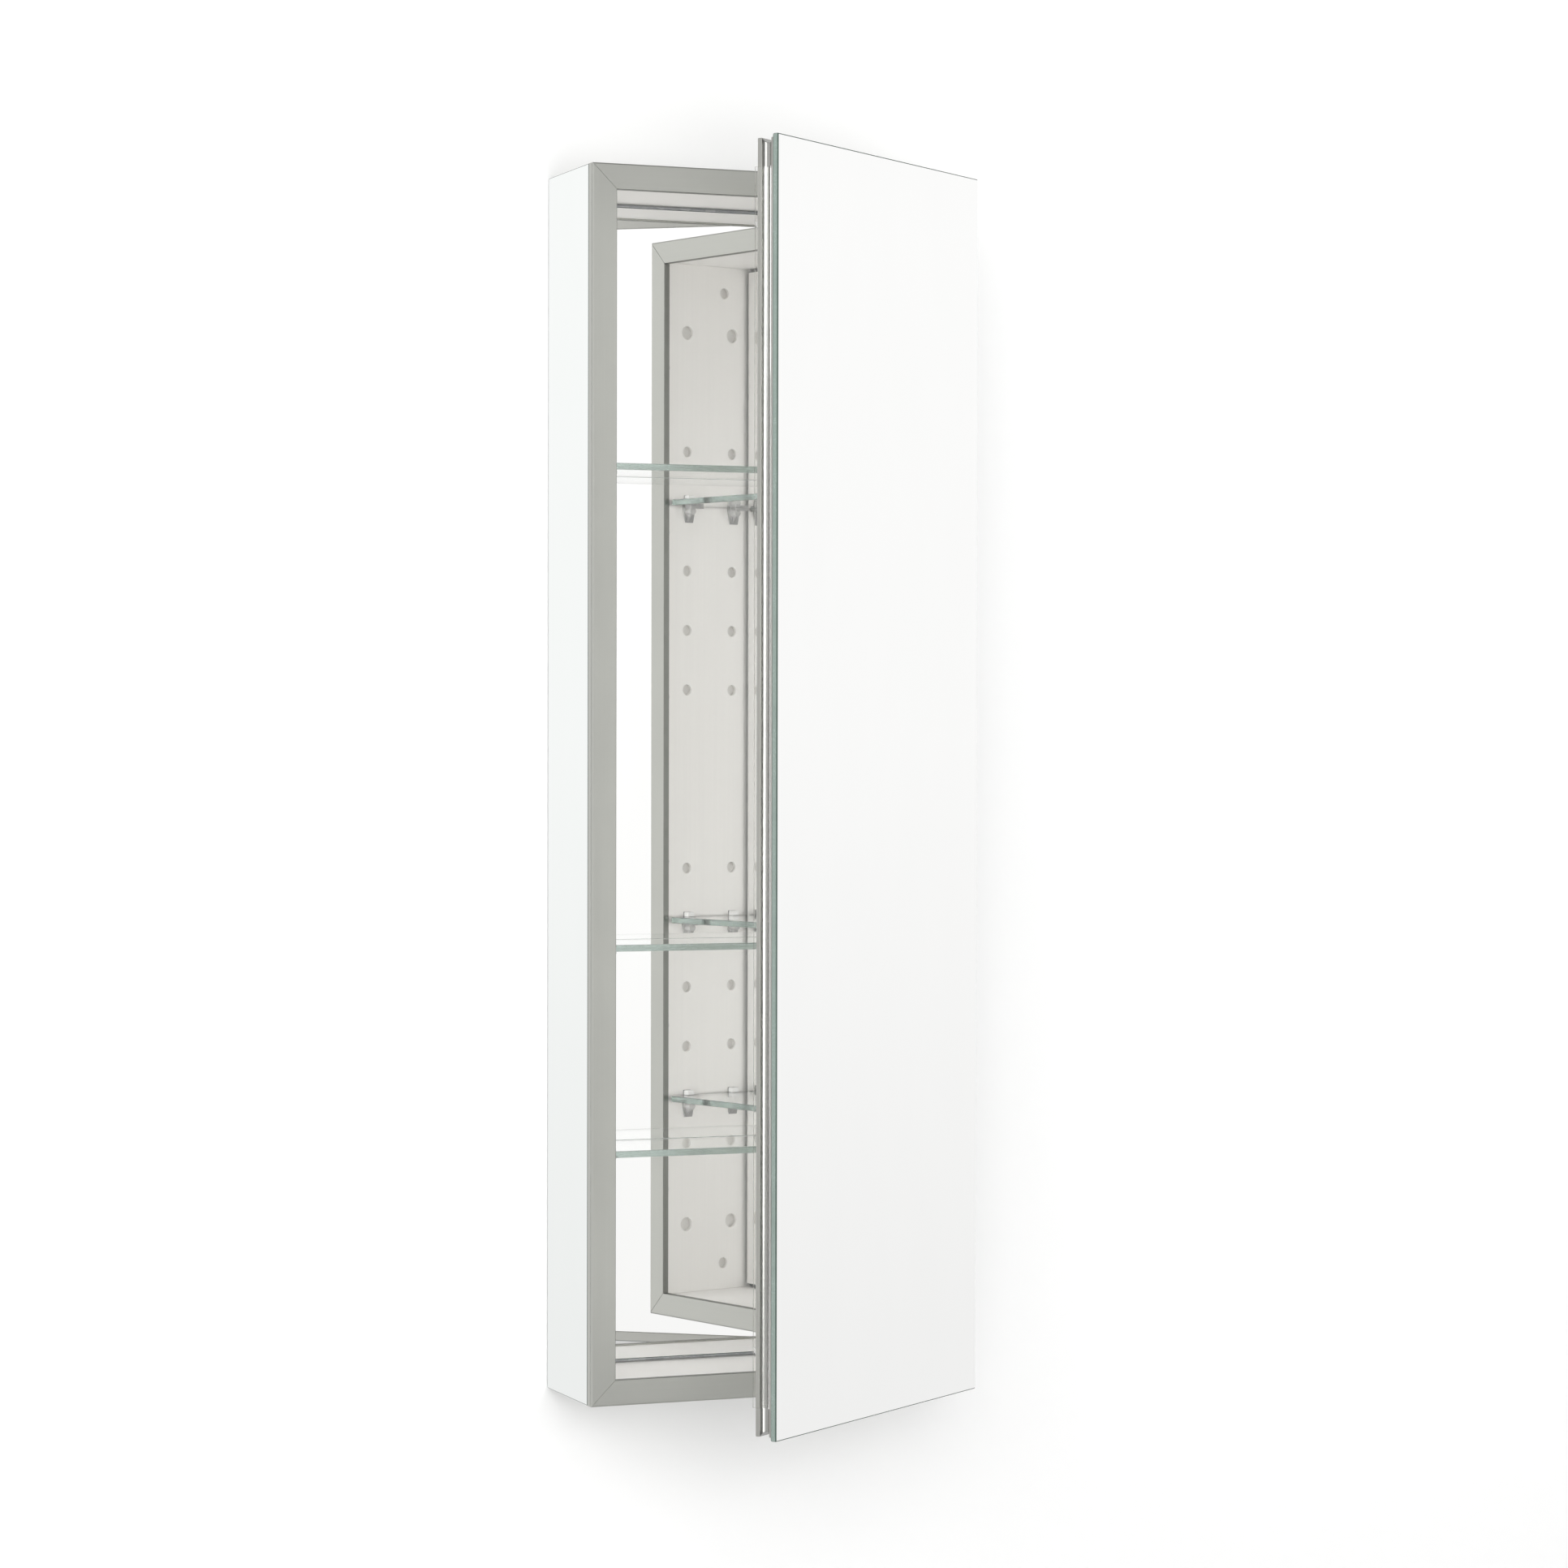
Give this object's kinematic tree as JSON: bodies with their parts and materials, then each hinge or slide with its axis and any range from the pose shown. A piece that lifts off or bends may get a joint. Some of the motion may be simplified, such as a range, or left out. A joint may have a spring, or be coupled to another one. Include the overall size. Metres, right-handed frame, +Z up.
{
  "type": "medicine cabinet",
  "caption": "Tall narrow surface-mount medicine cabinet with a mirrored door on a full-height hinge, mirrored sides and back, aluminium frame and glass shelves on clips.",
  "frame": {"origin": "middle of the back, on the wall plane, at mid-height of the cabinet", "axes": "+X to the viewer's right (hinge side), +Y into the wall, +Z up; the mirrored door faces -Y"},
  "size_m": [0.3009, 0.2932, 0.9144],
  "materials": {
    "satin_aluminium": "satin anodised, fine lengthwise grain",
    "interior_aluminium": "pale satin anodised",
    "plain_aluminium": "mill finish",
    "mirror_glass": "silvered float glass with polished green edges",
    "shelf_glass": "clear tempered glass with polished green edges",
    "clear_plastic": "clear",
    "white_plastic": "translucent white",
    "grey_plastic": "light grey moulded",
    "spacer_plastic": "rigid foamed board",
    "galvanised_steel": "galvanised sheet",
    "stainless_steel": "brushed stainless",
    "foam_tape": "black foam tape",
    "magnet": "dark sintered magnet"
  },
  "bodies": {
    "cabinet": {"back_mirror": "mirror_glass", "back_mirror_tape": "foam_tape", "back_panel": "galvanised_steel", "back_panel_rivets": "plain_aluminium", "back_stiffener": "galvanised_steel", "bottom_cover": "satin_aluminium", "bottom_wall": "interior_aluminium", "clip_tabs_bottom": "white_plastic", "clip_tabs_middle": "white_plastic", "clip_tabs_top": "white_plastic", "corner_brackets": "plain_aluminium", "frame_corner_keys": "plain_aluminium", "frame_rail_bottom": "satin_aluminium", "frame_rail_top": "satin_aluminium", "frame_rivets": "plain_aluminium", "frame_stile_left": "satin_aluminium", "frame_stile_right": "satin_aluminium", "hanger_rail": "galvanised_steel", "hinge_leaf_cabinet": "stainless_steel", "hinge_pin": "stainless_steel", "hinge_screws_cabinet": "stainless_steel", "left_wall": "interior_aluminium", "right_wall": "interior_aluminium", "shelf_bottom": "shelf_glass", "shelf_clips_bottom": "clear_plastic", "shelf_clips_middle": "clear_plastic", "shelf_clips_top": "clear_plastic", "shelf_middle": "shelf_glass", "shelf_sockets_left": "grey_plastic", "shelf_sockets_right": "grey_plastic", "shelf_top": "shelf_glass", "side_hole_caps_left": "grey_plastic", "side_hole_caps_right": "grey_plastic", "side_mirror_left": "mirror_glass", "side_mirror_right": "mirror_glass", "side_spacers_left": "spacer_plastic", "side_spacers_right": "spacer_plastic", "side_trim_left": "satin_aluminium", "side_trim_right": "satin_aluminium", "strike_plates": "galvanised_steel", "top_cover": "satin_aluminium", "top_wall": "interior_aluminium", "wall_rail": "galvanised_steel"},
    "door": {"door_stile_free": "satin_aluminium", "door_stile_hinge": "satin_aluminium", "door_rail_top": "satin_aluminium", "door_rail_bottom": "satin_aluminium", "door_corner_keys": "plain_aluminium", "door_glass": "mirror_glass", "door_glass_tape": "foam_tape", "door_inner_mirror": "mirror_glass", "inner_mirror_tape": "foam_tape", "door_edge_seal": "clear_plastic", "door_magnets": "magnet", "door_bumpers": "clear_plastic", "hinge_leaf_door": "stainless_steel", "hinge_screws_door": "stainless_steel"}
  },
  "joints": [
    {"name": "door_swing", "type": "hinge", "parent": "cabinet", "child": "door", "pos_m": [0.14735, -0.1029, 0], "axis": [0, 0, 1], "range_deg": [-36.8, 73.2]}
  ]
}
